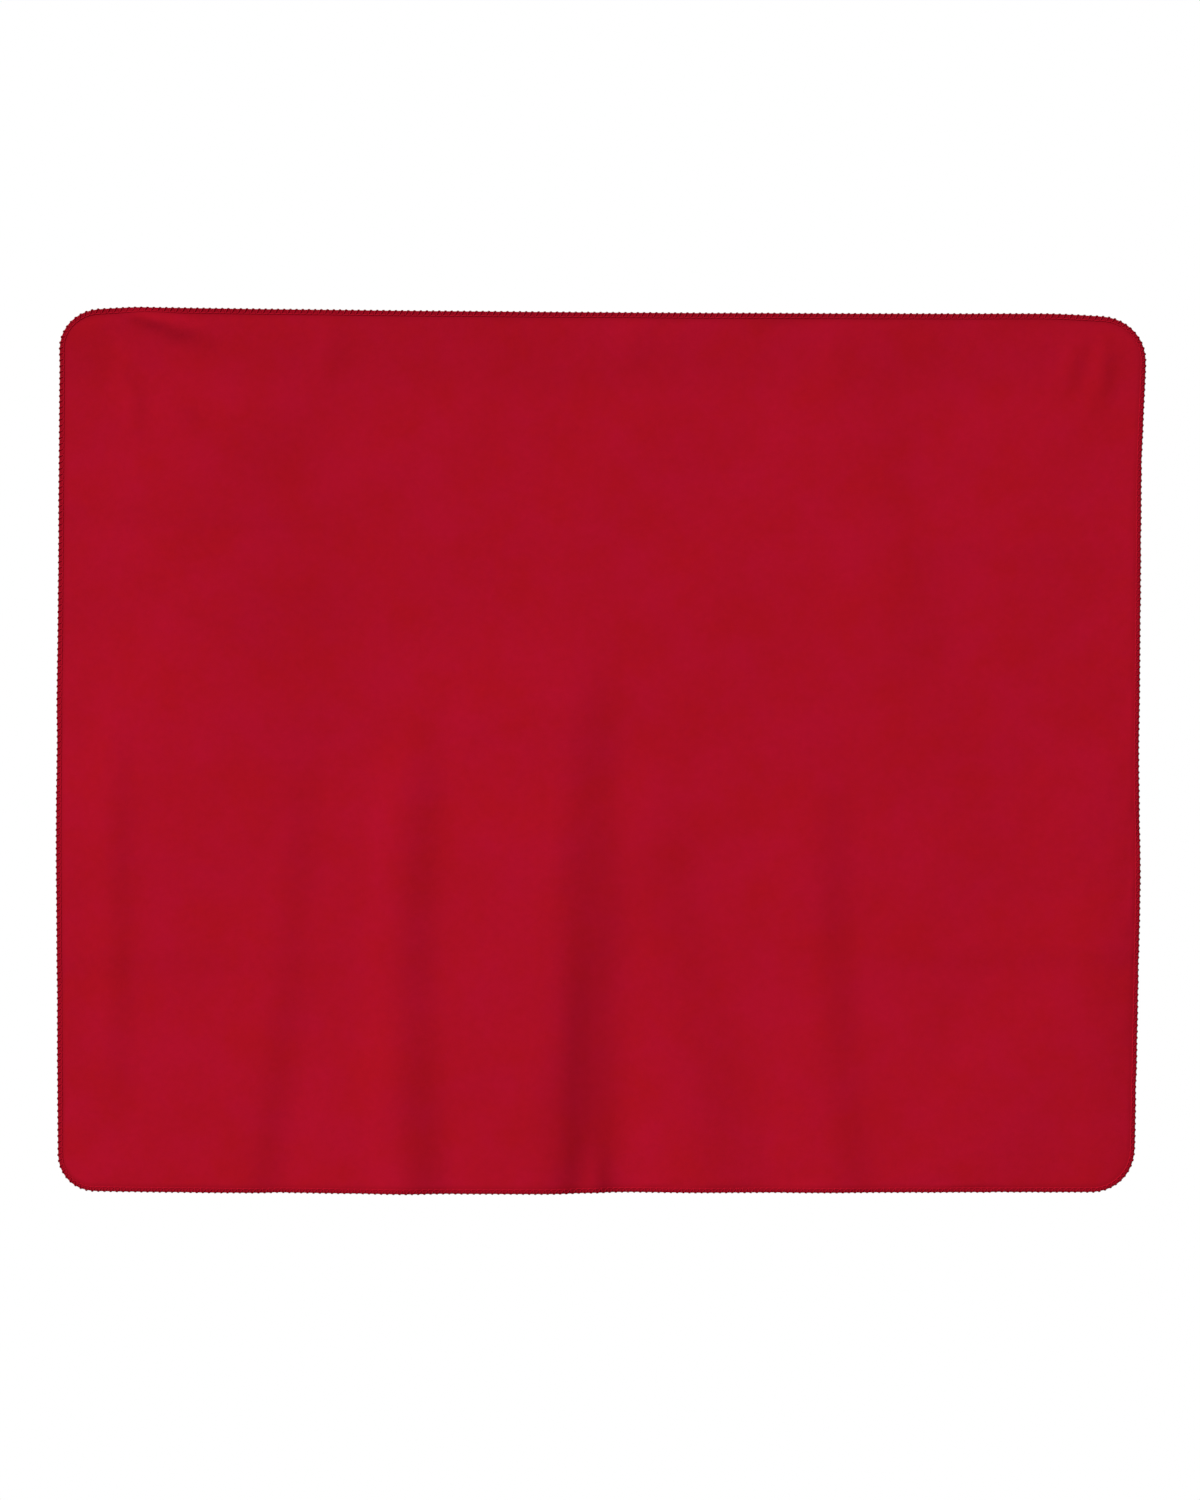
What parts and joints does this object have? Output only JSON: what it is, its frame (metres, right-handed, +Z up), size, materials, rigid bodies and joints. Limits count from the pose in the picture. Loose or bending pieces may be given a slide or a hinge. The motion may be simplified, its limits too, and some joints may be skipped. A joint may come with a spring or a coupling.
{
  "type": "fire blanket",
  "caption": "Plain rectangular wool fire blanket with rounded corners and an overlocked edge, hanging open from its top edge in soft upright folds.",
  "frame": {"origin": "middle of the top edge, midway through the cloth", "axes": "+X along the top edge, to the right as seen from the front; +Z up; the front faces -Y and the back faces +Y"},
  "size_m": [2, 0.1005, 1.6235],
  "materials": {
    "wool_cloth": "milled and brushed flame-retardant wool, crimson, dull with a short nap",
    "edge_thread": "thick spun wool yarn, a little darker than the cloth"
  },
  "bodies": {
    "root": {"blanket_cloth": "wool_cloth", "needle_thread": "edge_thread", "upper_looper_thread": "edge_thread", "lower_looper_thread": "edge_thread"}
  },
  "joints": []
}
